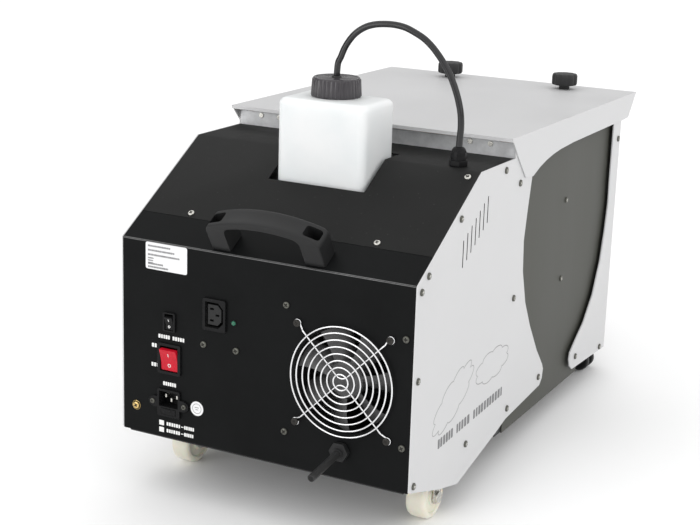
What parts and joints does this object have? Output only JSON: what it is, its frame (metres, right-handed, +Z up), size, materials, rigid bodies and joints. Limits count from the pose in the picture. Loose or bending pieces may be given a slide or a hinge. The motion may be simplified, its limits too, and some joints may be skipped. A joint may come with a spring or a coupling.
{
  "type": "low-lying fog machine",
  "caption": "Low-lying fog machine: sheet-metal body with hinged ice-chamber lid, lift-out fluid tank and hose, rear fan and controls, and casters.",
  "frame": {"origin": "on the floor under the middle of the machine's bounding box", "axes": "+Y from the rear control panel towards the fog outlet, +X to the machine's right as seen from the rear, +Z up"},
  "size_m": [0.3516, 0.7082, 0.5077],
  "materials": {
    "black_panel": "satin",
    "charcoal_cover": "satin, fine powder coat",
    "light_grey_sheet": "satin",
    "olive_grey_sheet": "satin",
    "black_metal": "satin",
    "galvanised": "satin",
    "zinc_screws": "bright",
    "black_screws": "satin",
    "brass": "satin",
    "chrome_wire": "polished",
    "cast_aluminium": "as cast",
    "steel_shield": "satin",
    "black_plastic": "fine texture",
    "gloss_black": "gloss",
    "red_rocker": "gloss, lit from inside",
    "green_light": "clear dome",
    "black_hose": "gloss",
    "black_rubber": "matt",
    "foam_seal": "matt foam",
    "insulation": "matt felt",
    "tank_plastic": "translucent, satin",
    "cream_nylon": "satin",
    "circuit_board": "satin",
    "label_film": "satin print"
  },
  "bodies": {
    "root": {"base_pan": "black_metal", "rear_panel": "black_panel", "top_cover": "charcoal_cover", "side_panel_left": "light_grey_sheet", "side_panel_right": "light_grey_sheet", "inner_panel_left": "olive_grey_sheet", "inner_panel_right": "olive_grey_sheet", "front_panel": "light_grey_sheet", "outlet_duct": "black_metal", "bulkhead": "galvanised", "hinge_rivets": "zinc_screws", "hinge_fixed_leaves": "galvanised", "chamber_liner": "galvanised", "chamber_insulation": "insulation", "ice_basket": "galvanised", "lid_seal": "foam_seal", "tank_cradle": "black_metal", "heater_block": "cast_aluminium", "heater_cover": "steel_shield", "fluid_pump": "black_plastic", "fog_pipe": "brass", "drain_pump": "black_plastic", "drain_spout": "black_rubber", "control_board": "circuit_board", "fan_frame": "black_plastic", "fan_guard": "chrome_wire", "fan_screws": "zinc_screws", "carry_handle": "black_plastic", "handle_screws": "zinc_screws", "power_inlet": "gloss_black", "accessory_outlet": "gloss_black", "power_switch": "gloss_black", "drain_switch": "gloss_black", "status_led": "green_light", "ground_screw": "brass", "panel_labels": "label_film", "hose_gland": "gloss_black", "fluid_hose": "black_hose", "rear_screws": "zinc_screws", "side_screws": "zinc_screws", "cover_screws": "zinc_screws", "rear_casters": "zinc_screws", "front_caster_plates": "black_metal"},
    "lid": {"lid": "light_grey_sheet", "hinge_moving_leaves": "galvanised"},
    "lid_knob_left": {"lid_knob_left": "black_plastic"},
    "lid_knob_right": {"lid_knob_right": "black_plastic"},
    "tank": {"fluid_tank": "tank_plastic", "pickup_tube": "black_hose"},
    "cap": {"tank_cap": "gloss_black"},
    "fan": {"fan_rotor": "black_plastic"},
    "power_rocker": {"power_rocker": "red_rocker"},
    "drain_rocker": {"drain_rocker": "gloss_black"},
    "fuse_drawer": {"fuse_drawer": "gloss_black"},
    "rear_wheel_left": {"rear_wheel_left": "cream_nylon"},
    "rear_wheel_right": {"rear_wheel_right": "cream_nylon"},
    "front_fork_left": {"front_fork_left": "black_plastic"},
    "front_fork_right": {"front_fork_right": "black_plastic"},
    "front_wheels_left": {"front_wheels_left": "black_plastic"},
    "front_wheels_right": {"front_wheels_right": "black_plastic"}
  },
  "joints": [
    {"name": "lid_hinge", "type": "hinge", "parent": "root", "child": "lid", "pos_m": [0, -0.04277, 0.37699], "axis": [1, 0, 0], "range_deg": [0, 95]},
    {"name": "lid_knob_left_turn", "type": "hinge", "parent": "lid", "child": "lid_knob_left", "pos_m": [-0.07, 0.31778, 0.35845], "axis": [0, 0.0641, 0.9979], "continuous": true},
    {"name": "lid_knob_right_turn", "type": "hinge", "parent": "lid", "child": "lid_knob_right", "pos_m": [0.091, 0.31778, 0.35845], "axis": [0, 0.0641, 0.9979], "continuous": true},
    {"name": "tank_lift", "type": "slide", "parent": "root", "child": "tank", "axis": [0, 0.0641, 0.9979], "range_m": [0, 0.04], "deforming": ["fluid_hose"]},
    {"name": "cap_turn", "type": "hinge", "parent": "tank", "child": "cap", "pos_m": [0, -0.12449, 0.43084], "axis": [0, 0.0641, 0.9979], "continuous": true},
    {"name": "fan_spin", "type": "hinge", "parent": "root", "child": "fan", "pos_m": [0.0955, -0.27426, 0.17391], "axis": [0, 0.9979, -0.0641], "continuous": true},
    {"name": "power_rock", "type": "hinge", "parent": "root", "child": "power_rocker", "pos_m": [-0.1125, -0.28421, 0.15951], "axis": [1, 0, 0], "range_deg": [-24, 0]},
    {"name": "drain_rock", "type": "hinge", "parent": "root", "child": "drain_rocker", "pos_m": [-0.1124, -0.28158, 0.20043], "axis": [1, 0, 0], "range_deg": [-24, 0]},
    {"name": "fuse_slide", "type": "slide", "parent": "root", "child": "fuse_drawer", "axis": [0, -0.9979, 0.0641], "range_m": [0, 0.012]},
    {"name": "rear_wheel_left_spin", "type": "hinge", "parent": "root", "child": "rear_wheel_left", "pos_m": [-0.1475, -0.20166, 0.025], "axis": [1, 0, 0], "continuous": true},
    {"name": "rear_wheel_right_spin", "type": "hinge", "parent": "root", "child": "rear_wheel_right", "pos_m": [0.1475, -0.20166, 0.025], "axis": [1, 0, 0], "continuous": true},
    {"name": "front_swivel_left", "type": "hinge", "parent": "root", "child": "front_fork_left", "pos_m": [-0.138, 0.27355, 0.013], "axis": [0, 0.0641, 0.9979], "continuous": true},
    {"name": "front_swivel_right", "type": "hinge", "parent": "root", "child": "front_fork_right", "pos_m": [0.138, 0.27355, 0.013], "axis": [0, 0.0641, 0.9979], "continuous": true},
    {"name": "front_wheels_left_spin", "type": "hinge", "parent": "front_fork_left", "child": "front_wheels_left", "pos_m": [-0.128, 0.27355, 0.013], "axis": [0, 0.9979, -0.0641], "continuous": true},
    {"name": "front_wheels_right_spin", "type": "hinge", "parent": "front_fork_right", "child": "front_wheels_right", "pos_m": [0.148, 0.27355, 0.013], "axis": [0, 0.9979, -0.0641], "continuous": true}
  ]
}
